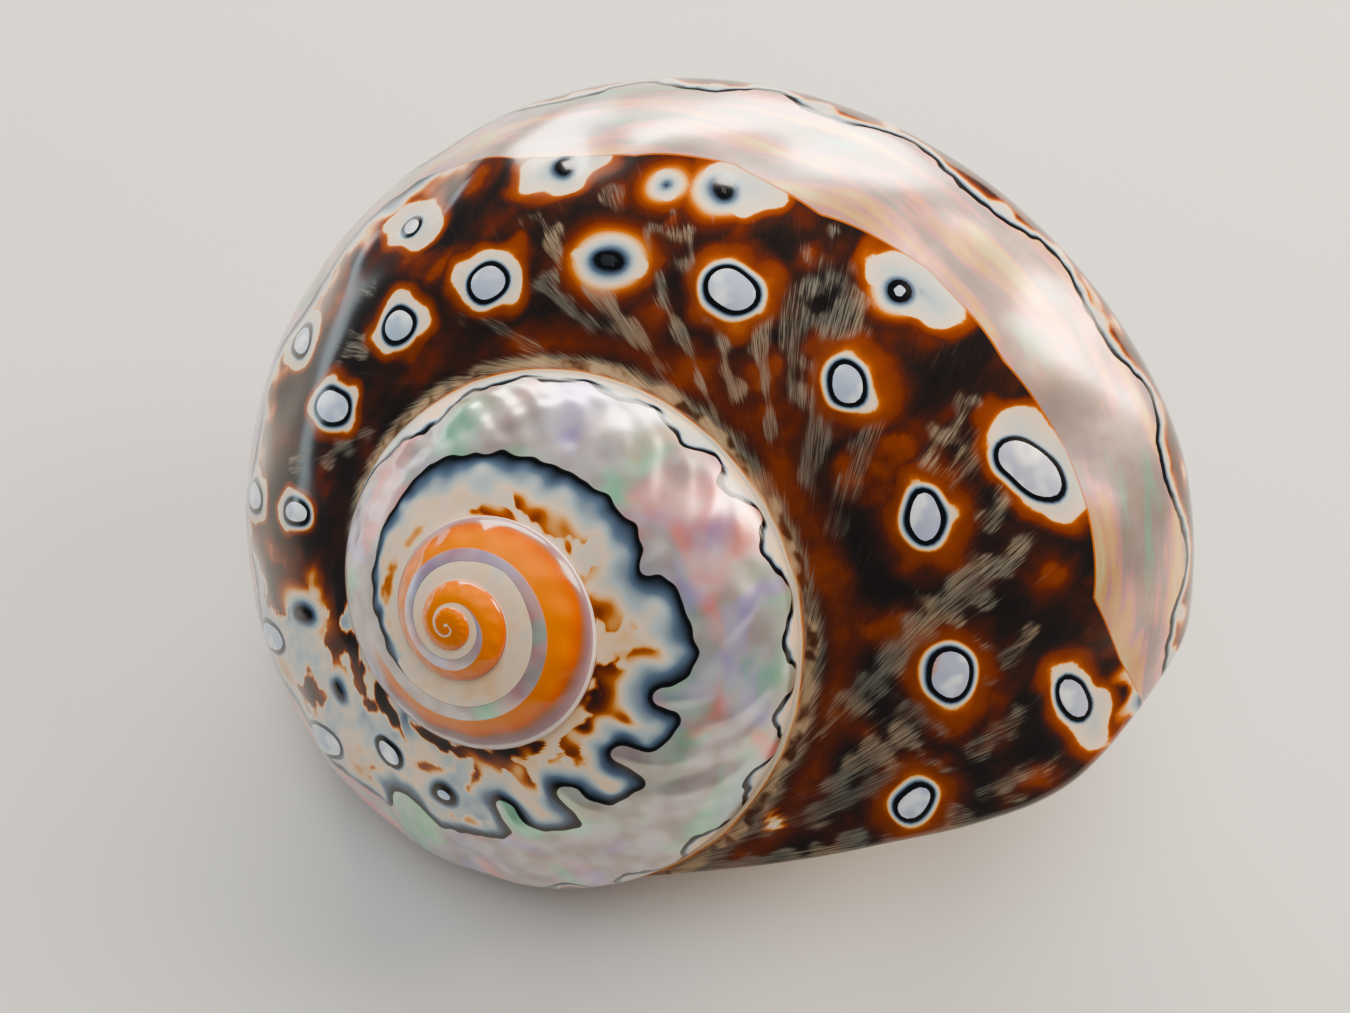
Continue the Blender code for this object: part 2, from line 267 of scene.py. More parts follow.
# Brown flames on the cream part: turn, place, half-length, half-width, tilt and depth.
# The last but two is a pale knob, so it takes depth away.
FLAMES = [
    (-497, 0.058, 0.9, 0.45, 130, 1.2), (-488, 0.052, 0.9, 0.5, 30, 1.6), (-478, 0.04, 1.3, 0.6, 0, 1.3),
    (-505, 0.012, 0.9, 0.25, 0, 0.9), (-441, 0.044, 1.3, 0.75, 110, 1.9), (-433, 0.02, 0.9, 0.6, 80, 1.9),
    (-446, 0.066, 0.7, 0.4, 60, 1.4), (-402, 0.034, 1.2, 0.65, 100, 1.6),
    (-392, 0.042, 1.2, 0.5, 100, 1.4), (-416, 0.088, 1, 0.35, 100, 0.6),
    (-376, 0.036, 1.2, 0.4, 0, 1.4), (-370, 0.04, 0.6, 0.4, 90, 0.6),
    (-349, 0.012, 1, 0.3, 0, 1.2), (-345, 0.045, 1.2, 0.3, 130, 1.9), (-336, 0.024, 1.3, 0.45, 40, 2),
    (-325, 0.016, 1.2, 0.3, 10, 1.5), (-312, 0.018, 1.2, 0.25, 0, 1.4), (-330, 0.072, 0.6, 0.4, 0, 0.8),
    (-314, 0.07, 0.9, 0.25, 20, 0.7), (-352, 0.142, 0.5, 0.45, 0, 0.5), (-328, 0.16, 0.8, 0.5, 0, 0.5),
    (-301, 0.17, 0.7, 0.5, 60, 0.9), (-374, 0.082, 0.35, 0.35, 0, 0.5), (-290, 0.03, 1.6, 0.3, 160, 1.9),
    (-275, 0.04, 1.9, 0.4, 160, 2.1), (-262, 0.05, 1.8, 0.5, 160, 2.2), (-275, 0.165, 1.2, 0.8, 90, 1.4),
    (-252, 0.165, 1.6, 0.9, 100, 1.7), (-304, 0.185, 0.7, 0.45, 0, 0.6),
    (-25, 0.022, 0.6, 0.5, 20, -0.8), (-597, 0.048, 0.9, 0.3, 0, 0.35), (-560, 0.03, 0.7, 0.2, 0, 0.25),
]
# Distance in mm that stands for nothing near
FAR = 9.0


def tilted(x, y, tilt):
    """Distances along and across a line that is tilted by so many degrees."""
    cosine = math.cos(math.radians(tilt))
    sine = math.sin(math.radians(tilt))
    return cosine * x + sine * y, cosine * y - sine * x


def local_mm(turn, place, centre_turn, centre_place):
    """Distances in mm from a centre on the surface, along the turns and across them."""
    along, across = slopes(np.array(float(centre_turn)), np.array(float(centre_place)))
    x = (turn - centre_turn) * np.linalg.norm(along) / MM
    y = (place - centre_place) * np.linalg.norm(across) / MM
    return x, y


def around(turn, place, centre_turn, centre_place, tilt, reach):
    """Where the grid is within about reach mm of a centre, with its tilted distances."""
    x, y = local_mm(turn, place, centre_turn, centre_place)
    here = (np.abs(x) < reach) & (np.abs(y) < reach)
    return here, *tilted(x[here], y[here], tilt)


def oval_distance(x, y, long, short):
    """About the distance in mm outside an oval, less than zero inside it."""
    scaled = np.hypot(x / long, y / short)
    steep = np.hypot(x / long ** 2, y / short ** 2) / np.maximum(scaled, 1e-6)
    return (scaled - 1) / np.maximum(steep, 0.5 / long)


def edge_line(table, turn, column=1):
    """Place of an edge at each turn, straight between the table's rows."""
    rows = np.array(table, float)
    return np.interp(turn, rows[:, 0], rows[:, column])


# Depths in the layers, from 0 at the pearl to 4 at the outside
CREAM_DEPTH = 1.13
BLUISH_DEPTH = 0.98
RIM_DEPTH = 1.05
LEAST_BROWN = 1.9
RUST_DEPTH = 2.12
BASE_BROWN_DEPTH = 2.80
DARK_DEPTH = 3.05
BLUISH_TURNS = (-350, -325)
DARK_TURNS = (-262, -243)
FLAME_DEPTH = 1.35
FLAME_SPREAD = 1.6


def ground_depth(turn, place, points):
    """Depth of colour away from the pearl: cream early on, then brown to near black."""
    cloud = ripple(points, 5.0 * MM, 3)
    fine = ripple(points, 1.5 * MM, 4)
    cream = CREAM_DEPTH + 0.03 * fine + 0.03 * cloud
    bluish = BLUISH_DEPTH + 0.10 * cloud + 0.05 * fine
    early = cream + (bluish - cream) * ease(*BLUISH_TURNS, turn)
    rust = np.exp(-((place - 0.032) / 0.019) ** 2) * ease(-185, -140, turn)
    dark = DARK_DEPTH + 0.42 * cloud + 0.12 * fine
    dark = dark - 0.75 * ease(0.5, 1.6, ripple(points, 8.0 * MM, 6)) * ease(-200, -170, turn)
    dark = dark + (RUST_DEPTH + 0.10 * cloud - dark) * rust
    late = ease(*DARK_TURNS, turn + 3 * cloud + 60 * (0.12 - place))
    depth = early + (np.maximum(dark, LEAST_BROWN) - early) * late
    rim = (1 - ease(0.003, 0.009, place)) * ease(-262, -235, turn)
    depth = depth + (RIM_DEPTH + 0.04 * fine - depth) * rim
    for flame_turn, flame_place, long, short, tilt, strength in FLAMES:
        here, x, y = around(turn, place, flame_turn, flame_place, tilt, 3.2 * long + 1)
        near = points[here]
        warp = 0.30 * ripple(near, 1.6 * MM, 11) + 0.16 * ripple(near, 0.8 * MM, 12)
        reach = np.hypot(x / (FLAME_SPREAD * long), y / (FLAME_SPREAD * short)) + warp
        depth[here] += FLAME_DEPTH * strength * (1 - ease(0.35, 1.5, reach))
    return depth


# Black ring outside a pearl edge: rise of its depth in each mm, then its greatest depth
# and its width, both for ink of 1. Past it the depth first rises quickly for a short way.
RING_RISE = 0.38
RING_DEPTH = 0.16
RING_WIDTH = 0.42
QUICK_RISE = 4.0
QUICK_WIDTH = 0.04


def ring_depth(distance, ink, steep):
    """Depth outside a pearl edge: black over the width of the ink, then steadily up."""
    past = np.maximum(distance - RING_WIDTH * ink, 0)
    black = np.minimum(RING_RISE * distance, RING_DEPTH * ink)
    return black + np.minimum(past, QUICK_WIDTH) * QUICK_RISE + past * steep


def no_eyes(shape):
    """Fields of a grid without an eye: nothing near, with a black and steep edge."""
    values = {"pearl": FAR, "ink": 1.0, "steep": 8.0, "halo": FAR}
    return {key: np.full(shape, value) for key, value in values.items()}


def with_eyes(fields, eyes, turn, place, points):
    """Cuts each eye into the fields, wherever it is shallower than what is there.

    An eye is an oval of pearl with a black ring, in a pale oval with an orange edge,
    and both are kept as distances in mm. The orange distance is over its width.
    """
    for (eye_turn, eye_place, long, short, tilt, pale_long, pale_short, pale_tilt,
         shift_along, shift_across, orange, kind) in eyes:
        orange = max(orange, 0.12)
        reach = max(long, pale_long, pale_short) + 2.6 * orange + 1.5
        here, x, y = around(turn, place, eye_turn, eye_place, 0.0, reach)
        if not here.any():
            continue
        warp = 0.16 * ripple(points[here], 2.6 * MM, 31)
        core = oval_distance(*tilted(x, y, tilt), long, short) + 0.4 * warp
        ink, steep = EYE_KINDS[kind]
        if kind == 0:
            core = np.maximum(core + 0.35, 0.03)
        before = ring_depth(fields["pearl"][here], fields["ink"][here], fields["steep"][here])
        closer = ring_depth(core, ink, steep) < before
        for key, value in (("pearl", core), ("ink", ink), ("steep", steep)):
            fields[key][here] = np.where(closer, value, fields[key][here])
        x, y = tilted(x - shift_along, y - shift_across, pale_tilt)
        pale = oval_distance(x, y, pale_long, pale_short) + 1.5 * warp
        pale = np.where(pale > 0, pale / orange, pale)
        fields["halo"][here] = np.minimum(fields["halo"][here], pale)


def pearl_edges(turn, place, points, wide):
    """Distance outside the pearl of the keel's upper edge, with its ink and steepness.

    The edge is a line across the turns, cut by round-ended fingers of pearl that lean
    with the growth lines. Corners between them are rounded to the lobes' radius. Wide is
    the distance in mm from place 0 to place 1, were it all as wide as here.
    """
    wobble = 0.10 * ripple(points, 1.6 * MM, 21)
    edge = edge_line(RAMP_EDGE, turn)
    line = (edge - place) * wide + wobble * ease(-672, -640, turn)
    fingers = np.full(turn.shape, FAR)
    for knob_turn, knob_place, radius in INNER_KNOBS:
        here, x, y = around(turn, place, knob_turn, knob_place, 0.0, FAR)
        finger = np.hypot(x + GROWTH_LEAN * y, np.minimum(y, 0)) - radius
        fingers[here] = np.minimum(fingers[here], finger)
    fingers = fingers + 0.4 * wobble
    corner = np.hypot(np.maximum(LOBE_RADIUS - line, 0), np.maximum(LOBE_RADIUS - fingers, 0))
    line = np.maximum(np.minimum(line, fingers), LOBE_RADIUS) - corner
    cloud = ripple(points, 2.2 * MM, 22)
    slate = 0.6 + 1.3 * ease(-575, -530, turn) * (1 - ease(-425, -400, turn))
    slate = slate + 0.6 * ease(-430, -400, turn)
    slate = np.maximum(slate + 0.25 * cloud, 0.25)
    inked = ease(*BLACK_LINE_STARTS, turn)
    return {
        "pearl": np.clip(line, -FAR, FAR),
        "ink": inked * (0.35 + 0.35 * ease(-600, -540, turn)),
        "steep": 0.62 / slate + 40 * (1 - inked),
        "halo": np.full(turn.shape, FAR),
    }


def outer_edge(turn, place, points, wide):
    """Distance below the keel's black wavy line, and the depth of colour beyond it."""
    swing = RIM_SWING + ADDED_RIM_SWING * ease(-480, -455, turn) * (1 - ease(-345, -300, turn))
    swing = swing * ease(-560, -500, turn)
    phase = 2 * math.pi * (turn - RIM_WAVE_CREST) / RIM_WAVE_TURN
    phase = phase + 0.5 * np.sin(phase * 0.31) + 0.35 * np.sin(phase)
    edge = edge_line(RIM_EDGE, turn) + swing * np.cos(phase)
    lean = swing * 2 * math.pi / RIM_WAVE_TURN * np.sin(phase)
    degree = suture_radius(turn) * SUTURE_RADIUS_AT_MOUTH * math.radians(1) * 2.2 / MM
    line = (place - edge) * wide / np.sqrt(1 + (lean * wide / np.maximum(degree, 1e-3)) ** 2)
    line = line + 0.08 * ripple(points, 1.3 * MM, 41)
    cloud = ripple(points, 4.0 * MM, 42)
    late = ease(-405, -300, turn)
    brown = BASE_BROWN_DEPTH + 0.5 * cloud + 0.2 * ripple(points, 1.5 * MM, 43)
    shallow = RIM_DEPTH + 0.06 * cloud
    far = shallow + (brown - shallow) * late * ease(0.6, 2.0, line + 0.6 * cloud)
    pale = 4.5 * (1 - ease(0.70, 0.90, place + 0.016 * cloud))
    far = np.minimum(far, np.where(place > 0.6, pale + 0.95, FAR))
    return np.clip(line, -FAR, FAR), far


def orange_steps(turn, place):
    """Steps across the early band: 0 to 1 orange, to 2 mauve, to 3 white at the seam."""
    start = edge_line(ORANGE_BAND, turn, 1)
    orange = edge_line(ORANGE_BAND, turn, 2)
    mauve = edge_line(ORANGE_BAND, turn, 3)
    first = (place - start) / np.maximum(orange - start, 1e-3)
    second = 1 + (place - orange) / np.maximum(mauve - orange, 1e-3)
    third = 2 + (place - mauve) / np.maximum(SEAM + 1e-3 - mauve, 1e-3)
    steps = np.where(place < orange, first, np.where(place < mauve, second, third))
    faded = np.minimum(steps, -1.0)
    return np.where(turn > -560, faded, np.clip(steps, -2, 3))


# Scuffed patches of the dark ground: turn, place, half-length in mm, half-width, strength
SCUFFS = [
    (-71, 0.14, 4, 1.4, 0.9), (-62, 0.082, 4.5, 1.6, 1), (-56, 0.112, 3.5, 1.2, 0.7),
    (-90, 0.162, 2.6, 0.9, 0.8), (-91, 0.082, 3.4, 1.2, 0.6), (-87, 0.172, 2, 0.7, 0.7),
    (-80, 0.182, 2.4, 0.8, 0.7), (-52, 0.174, 2.6, 1.2, 0.7), (-46, 0.078, 3.4, 1.6, 1),
    (-64, 0.19, 1.4, 0.8, 0.7), (-112, 0.164, 3, 2, 0.8), (-113, 0.116, 3.4, 0.9, 0.6),
    (-100, 0.074, 3, 1.3, 0.8), (-116, 0.058, 2.6, 0.7, 1), (-113, 0.084, 3.4, 0.6, 0.9),
    (-140, 0.064, 3, 1.2, 1), (-135, 0.144, 2, 0.9, 0.9), (-156, 0.14, 1.8, 0.8, 0.9),
    (-148, 0.188, 1.5, 0.7, 0.6), (-162, 0.044, 2.6, 0.6, 0.6), (-128, 0.068, 4.5, 0.5, 1),
    (-192, 0.196, 1.2, 0.7, 0.6), (-198, 0.138, 1.4, 1, 0.8), (-223, 0.128, 1.2, 0.8, 0.7),
    (-217, 0.076, 1.8, 1, 0.8), (-21, 0.05, 5, 1.2, 1), (-37, 0.068, 4, 1.4, 0.8),
    (-48, 0.215, 2.4, 1, 0.7), (-41, 0.15, 2.6, 1, 0.8), (-150, 0.072, 2, 1, 0.8),
    (-28, 0.095, 5, 1.8, 0.8), (-10, 0.1, 5, 2, 0.8), (-20, 0.2, 3, 1.2, 0.6),
]


def worn_patches(turn, place, row, points):
    """Share of scuffing: ovals along the growth lines, and a fringe below the suture.

    Along a growth line the turn falls as the place grows, so each oval is sheared.
    More than 1 is the raw hide of the fringe.
    """
    worn = np.zeros(turn.shape)
    for patch_turn, patch_place, long, short, strength in SCUFFS:
        here, _, y = around(turn, place, patch_turn, patch_place, 0.0, 1.6 * long + 2)
        if not here.any():
            continue
        lag = growth_lag(np.array(patch_place))
        x, _ = local_mm(row[here] - lag, place[here], patch_turn, patch_place)
        warp = 0.35 * ripple(points[here], 2.2 * MM, 51)
        reach = np.hypot(x / (1.6 * short), y / (1.2 * long)) + warp
        worn[here] = np.maximum(worn[here], strength * (1 - ease(0.4, 1.3, reach)))
    fringe = ease(0.003, 0.007, place) * (1 - ease(0.008, 0.027, place)) * ease(-245, -215, turn)
    broken = 1.6 + 0.35 * ripple(points, 1.8 * MM, 52)
    return np.maximum(worn, broken * fringe)


# Heights of the low relief, and degrees from one swelling of the keel to the next
KNOB_HEIGHT = 0.30 * MM
EYE_HEIGHT = 0.20 * MM
QUILT_HEIGHT = 0.05 * MM
QUILT_STEP = 10.8


def relief(turn, place, rows, points):
    """Height in metres: knobs, eyes and keel a little proud, and the lip rounded off."""
    height = np.zeros(turn.shape)
    for knob_turn, knob_place, radius in INNER_KNOBS:
        here, x, y = around(turn, place, knob_turn, knob_place, 0.0, 8.0)
        x = x + GROWTH_LEAN * y
        height[here] += KNOB_HEIGHT * np.exp(-(x / (1.1 * radius)) ** 2 - ((y - 1.2) / 1.9) ** 2)
    for eye_turn, eye_place, long, short, tilt in [eye[:5] for eye in EYES]:
        here, x, y = around(turn, place, eye_turn, eye_place, tilt, 6.0)
        bulge = np.exp(-(x / (0.9 * long + 0.3)) ** 2 - (y / (0.9 * short + 0.3)) ** 2)
        height[here] += EYE_HEIGHT * bulge * min(1.0, long)
    band = ease(0.16, 0.22, place) * (1 - ease(0.30, 0.36, place))
    early = ease(-620, -560, turn) * (1 - ease(-330, -260, turn))
    quilt = np.cos(2 * math.pi * rows / QUILT_STEP) + ripple(points, 3.5 * MM, 61)
    height += QUILT_HEIGHT * quilt * band * early
    late = ease(-260, -200, turn)
    height += MM * 0.06 * ripple(points, 9.0 * MM, 62) * band * late
    body = ease(0.01, 0.05, place) * (1 - ease(0.40, 0.455, place)) + ease(0.47, 0.52, place)
    height += MM * 0.03 * ripple(points, 6.0 * MM, 63) * body * ease(-700, -500, turn)
    height = height * ease(0.0, 0.02, place)
    lip = np.clip((rows - (MOUTH_TURN - LIP_ROUND_TURN)) / LIP_ROUND_TURN, 0, 1)
    return height - LIP_ROUND * (1 - np.sqrt(1 - 0.96 * lip ** 2)) * ease(0.0, 0.05, place)


def laid_down(points):
    """Shell-frame points turned to the rest pose: about z, then x, then z again."""
    out = points
    for axis, angle in (("z", SPIN), ("x", LEAN), ("z", HEADING)):
        cosine = math.cos(angle)
        sine = math.sin(angle)
        turn = np.array([[cosine, -sine, 0], [sine, cosine, 0], [0, 0, 1]])
        if axis == "x":
            turn = np.array([[1, 0, 0], [0, cosine, -sine], [0, sine, cosine]])
        out = out @ turn.T
    return out


ramp_places = SEAM * np.linspace(0, 1, RAMP_COLUMNS + 1) ** 1.2
base_places = SEAM + (1 - SEAM) * np.linspace(0, 1, BASE_COLUMNS + 1)[1:]
places = np.concatenate([ramp_places, base_places])
lags = growth_lag(places) * LAG_SCALE
rows_all = FIRST_TURN + STEP * np.arange(GROWTH_STEPS + 1)

# The rest pose is centred by the whole outline, as the solid's is
outline_rows = rows_all[FIRST_OPEN - 200::4]
outline = laid_down(whorl_surface(outline_rows[:, None] - lags, np.broadcast_to(
    places, (len(outline_rows), len(places)))).reshape(-1, 3))
low = outline.min(axis=0)
high = outline.max(axis=0)
REST_SHIFT = np.array([(low[0] + high[0]) / 2, (low[1] + high[1]) / 2, low[2]])


def at_rest(points):
    """Shell-frame points in the rest pose, with the two worn places ground flat."""
    laid = laid_down(points) - REST_SHIFT
    laid[..., 2] = np.where(laid[..., 2] < WORN_FLAT, 0.0, laid[..., 2])
    return laid


def wall_grid(first, last, stride, columns):
    """Points and colour fields of a length of wall, by row and column of its grid."""
    rows = rows_all[first:last + 1:stride]
    place = np.broadcast_to(places[columns], (len(rows), len(columns))).copy()
    row = np.broadcast_to(rows[:, None], place.shape).copy()
    turn = row - lags[columns]
    points = whorl_surface(turn, place)
    along, across = slopes(turn, place)
    normal = unit(np.cross(along, across))
    wide = np.linalg.norm(across, axis=-1) / MM
    fields = pearl_edges(turn, place, points, wide)
    with_eyes(fields, EYES, turn, place, points)
    under = no_eyes(turn.shape)
    with_eyes(under, BASE_EYES, turn, place, points)
    fields["under_pearl"] = under["pearl"]
    fields["under_halo"] = under["halo"]
    fields["ground"] = ground_depth(turn, place, points)
    fields["rim"], fields["far"] = outer_edge(turn, place, points, wide)
    keel = np.maximum(place - edge_line(KEEL_EDGE, turn), place - KEEL_MIDDLE)
    fields["keel"] = keel * wide
    fields["band"] = orange_steps(turn, place)
    fields["worn"] = worn_patches(turn, place, row, points)
    fields["row"] = row / 360.0
    fields["place"] = place
    points = points + normal * relief(turn, place, row, points)[..., None]
    return points, fields


def numbered(grid):
    """Number of each vertex of a grid, row by row."""
    return np.arange(grid.shape[0] * grid.shape[1]).reshape(grid.shape[:2])


def placed(name, data):
    """New object in the scene, at the origin."""
    made = bpy.data.objects.new(name, data)
    bpy.context.scene.collection.objects.link(made)
    return made


def grid_mesh(name, points, fields, same):
    """Mesh of a grid. Corners hold the fields, and vertices that are the same merge.

    The field named row and the one named place also make the UV map growth.
    """
    number = numbered(points)
    quads = np.stack([number[:-1, :-1], number[1:, :-1], number[1:, 1:], number[:-1, 1:]], -1)
    quads = quads.reshape(-1, 4)
    merged = same.ravel()
    corner = merged[quads]
    repeat = corner == np.roll(corner, -1, axis=1)
    whole = quads[~repeat.any(axis=1)]
    once = repeat.sum(axis=1) == 1
    left_out = repeat[once].argmax(axis=1)
    order = (left_out[:, None] + np.array([1, 2, 3])) % 4
    triangles = np.take_along_axis(quads[once], order, axis=1)
    used, short = np.unique(np.concatenate([merged[whole].ravel(), merged[triangles].ravel()]),
                            return_inverse=True)
    flat = points.reshape(-1, 3)[used]
    faces = short[:whole.size].reshape(-1, 4).tolist()
    faces += short[whole.size:].reshape(-1, 3).tolist()
    mesh = bpy.data.meshes.new(name)
    mesh.from_pydata(flat.tolist(), [], faces)
    corners = np.concatenate([whole.ravel(), triangles.ravel()])
    for key, values in fields.items():
        if key not in ("row", "place"):
            store = mesh.attributes.new(key, "FLOAT", "CORNER")
            store.data.foreach_set("value", values.ravel()[corners].astype(np.float32))
    growth = mesh.uv_layers.new(name="growth")
    pairs = np.stack([fields["row"].ravel()[corners], fields["place"].ravel()[corners]], -1)
    growth.data.foreach_set("uv", pairs.astype(np.float32).ravel())
    mesh.shade_smooth()
    mesh.update()
    return placed(name, mesh)


def wall_piece(name, first, last, stride=1, column_stride=1):
    """A length of the outer wall, closed along the sutures inside it."""
    points, fields = wall_grid(first, last, stride, np.arange(0, RAMP_COLUMNS + 1, column_stride))
    same = numbered(points)
    behind = (STEPS_PER_TURN - SEAM_STEPS) // stride
    if first == 0:
        same[:behind, 0] = 0
        points[0, :] = points[0, 0]
        same[0, :] = 0
    if len(same) > behind:
        same[behind:, 0] = same[:-behind, -1]
    return grid_mesh(name, at_rest(points), fields, same)


def even_row(turn):
    """Row of the wall, even in number, where the suture is at a turn."""
    return int(round((turn - FIRST_TURN) / STEP)) // 2 * 2


# The early whorls are small, so their grid is half as fine
SPIRE_END = even_row(-640.0)
KEELED_END = even_row(-290.0)
early_whorls = wall_piece("early_whorls", 0, SPIRE_END, 2, 2)
keeled_whorl = wall_piece("keeled_whorl", SPIRE_END, KEELED_END)
body_whorl = wall_piece("body_whorl", KEELED_END, GROWTH_STEPS)
lip_points, lip_fields = wall_grid(GROWTH_STEPS - 1, GROWTH_STEPS, 1, np.arange(RAMP_COLUMNS + 1))
base_points, base_fields = wall_grid(FIRST_OPEN, GROWTH_STEPS, 1,
                                     np.arange(RAMP_COLUMNS, len(places)))
shell_base = grid_mesh("shell_base", at_rest(base_points), base_fields, numbered(base_points))


def srgb(red, green, blue):
    """Display colour as linear light, with full alpha."""
    values = np.array([red, green, blue], float)
    linear = np.where(values <= 0.04045, values / 12.92, ((values + 0.055) / 1.055) ** 2.4)
    return (*linear.tolist(), 1.0)


class Nodes:
    """Short calls for the nodes of one tree."""

    def __init__(self, tree):
        self.tree = tree

    def add(self, kind, **settings):
        node = self.tree.nodes.new(kind)
        for key, value in settings.items():
            setattr(node, key, value)
        return node

    def link(self, source, target):
        self.tree.links.new(source, target)

    def put(self, target, value):
        if isinstance(value, bpy.types.NodeSocket):
            self.link(value, target)
        else:
            target.default_value = value

    def math(self, operation, first, second=0.0, third=0.0):
        node = self.add("ShaderNodeMath", operation=operation)
        for socket, value in zip(node.inputs, (first, second, third)):
            self.put(socket, value)
        return node.outputs[0]

    def scaled(self, value, factor, added):
        return self.math("MULTIPLY_ADD", value, factor, added)

    def least(self, first, second):
        return self.math("MINIMUM", first, second)

    def times(self, first, second):
        return self.math("MULTIPLY", first, second)

    def opposite(self, share):
        return self.math("SUBTRACT", 1.0, share)

    def field(self, name):
        return self.add("ShaderNodeAttribute", attribute_name=name).outputs["Fac"]

    def step(self, value, low, high):
        node = self.add("ShaderNodeMapRange", interpolation_type="SMOOTHSTEP")
        self.put(node.inputs["Value"], value)
        node.inputs["From Min"].default_value = low
        node.inputs["From Max"].default_value = high
        return node.outputs["Result"]

    def mix(self, share, first, second):
        node = self.add("ShaderNodeMix", data_type="RGBA")
        self.put(node.inputs[0], share)
        self.put(node.inputs[6], first)
        self.put(node.inputs[7], second)
        return node.outputs[2]

    def noise(self, vector, scale, detail=2.0, roughness=0.5, distortion=0.0, output="Fac"):
        node = self.add("ShaderNodeTexNoise")
        self.link(vector, node.inputs["Vector"])
        node.inputs["Scale"].default_value = scale
        node.inputs["Detail"].default_value = detail
        node.inputs["Roughness"].default_value = roughness
        node.inputs["Distortion"].default_value = distortion
        return node.outputs[output]

    def ramp(self, value, stops):
        node = self.add("ShaderNodeValToRGB")
        self.put(node.inputs[0], value)
        points = node.color_ramp.elements
        for n, (at, colour) in enumerate(stops):
            point = points[n] if n < 2 else points.new(at)
            point.position = at
            point.color = colour
        return node.outputs["Color"]


def node_group(name, inputs, outputs):
    """Empty node group: its tree, its nodes, and its input and output sockets."""
    tree = bpy.data.node_groups.new(name, "ShaderNodeTree")
    for way, sockets in (("INPUT", inputs), ("OUTPUT", outputs)):
        for socket, kind in sockets.items():
            tree.interface.new_socket(socket, in_out=way, socket_type="NodeSocket" + kind)
    nodes = Nodes(tree)
    given = nodes.add("NodeGroupInput").outputs
    result = nodes.add("NodeGroupOutput").inputs
    return tree, nodes, given, result


# Patches, wrinkles and glints of the pearl, per metre. The glints, and the pale wrinkles in part, are
# painted highlights.
PATCH_SCALE = 130.0
WRINKLE_AND_GLINT_SCALE = 420.0
PAINTED_GLINT_SCALE = 520.0


def pearl_group():
    """Node group: grey-pink pearl with soft green, rose and lavender patches, and pale bands that are
    partly painted glints.
    """
    tree, nodes, given, result = node_group(
        "pearl_colours", {"Place": "Vector"}, {"Colour": "Color", "Bands": "Float"})
    apart = nodes.add("ShaderNodeSeparateColor")
    nodes.link(nodes.noise(given["Place"], PATCH_SCALE, 2.5, 0.5, 0.6, "Color"), apart.inputs[0])
    colour = srgb(0.68, 0.62, 0.61)
    for patch, low, high, tint in (
        (0, 0.50, 0.68, srgb(0.54, 0.78, 0.64)),
        (1, 0.48, 0.68, srgb(0.92, 0.58, 0.55)),
        (2, 0.50, 0.70, srgb(0.66, 0.61, 0.80)),
    ):
        colour = nodes.mix(nodes.step(apart.outputs[patch], low, high), colour, tint)
    # Pale bands: partly the pearl's own wrinkled lustre, partly painted glints of light
    pale_bands_and_glints = nodes.step(nodes.noise(given["Place"], WRINKLE_AND_GLINT_SCALE, 1.0), 0.3, 0.7)
    colour = nodes.mix(nodes.times(pale_bands_and_glints, 0.38), colour, srgb(0.90, 0.91, 0.90))
    nodes.link(colour, result["Colour"])
    nodes.link(pale_bands_and_glints, result["Bands"])
    return tree


def ring_group():
    """Node group: depth outside a pearl edge, black over the ink, then steadily up."""
    tree, nodes, given, result = node_group(
        "cut_edge", {"Distance": "Float", "Ink": "Float", "Steep": "Float"}, {"Depth": "Float"})
    black = nodes.times(given["Distance"], RING_RISE)
    black = nodes.least(black, nodes.times(given["Ink"], RING_DEPTH))
    past = nodes.scaled(given["Ink"], -RING_WIDTH, given["Distance"])
    past = nodes.math("MAXIMUM", past, 0.0)
    depth = nodes.scaled(nodes.least(past, QUICK_WIDTH), QUICK_RISE, black)
    nodes.link(nodes.scaled(past, given["Steep"], depth), result["Depth"])
    return tree


def halo_group():
    """Node group: depth of an eye's pale oval, and of the orange round it."""
    tree, nodes, given, result = node_group(
        "pale_oval", {"Distance": "Float"}, {"Depth": "Float"})
    away = given["Distance"]
    depth = nodes.scaled(nodes.least(away, 0.0), 0.13, CREAM_DEPTH)
    depth = nodes.math("ADD", depth, nodes.times(nodes.step(away, -0.05, 0.28), 0.45))
    between = nodes.least(nodes.math("MAXIMUM", away, 0.0), 1.0)
    depth = nodes.scaled(between, 0.48, depth)
    beyond = nodes.math("MAXIMUM", nodes.math("SUBTRACT", away, 1.0), 0.0)
    nodes.link(nodes.scaled(beyond, 1.5, depth), result["Depth"])
    return tree


pearl_colours = pearl_group()
cut_edge = ring_group()
pale_oval = halo_group()

# Colours of the outer layer from the pearl outwards, by depth from -1 to 4
LAYER_COLOURS = [
    (0, srgb(0.01, 0.01, 0.01)), (1, srgb(0.09, 0.065, 0.07)),
    (0.2, srgb(0.01, 0.01, 0.015)), (0.235, srgb(0.02, 0.025, 0.04)),
    (0.262, srgb(0.11, 0.145, 0.2)), (0.315, srgb(0.36, 0.43, 0.51)),
    (0.37, srgb(0.68, 0.73, 0.73)), (0.425, srgb(0.9, 0.8, 0.68)),
    (0.47, srgb(0.88, 0.66, 0.4)), (0.51, srgb(0.7, 0.38, 0.09)),
    (0.56, srgb(0.51, 0.235, 0.05)), (0.64, srgb(0.345, 0.135, 0.045)),
    (0.74, srgb(0.22, 0.105, 0.065)), (0.84, srgb(0.125, 0.09, 0.08)),
]
# Mottle per metre, then streaks along the growth lines, per turn and per unit of place
MOTTLE_SCALE = 700.0
STREAK_SCALES = (300.0, 12.0)
HAIR_SCALES = (1500.0, 40.0)
PEARL_STREAK_SCALES = (15.0, 26.0)
PEARL_METALLIC = 0.60
POLISHED_ROUGHNESS = 0.16


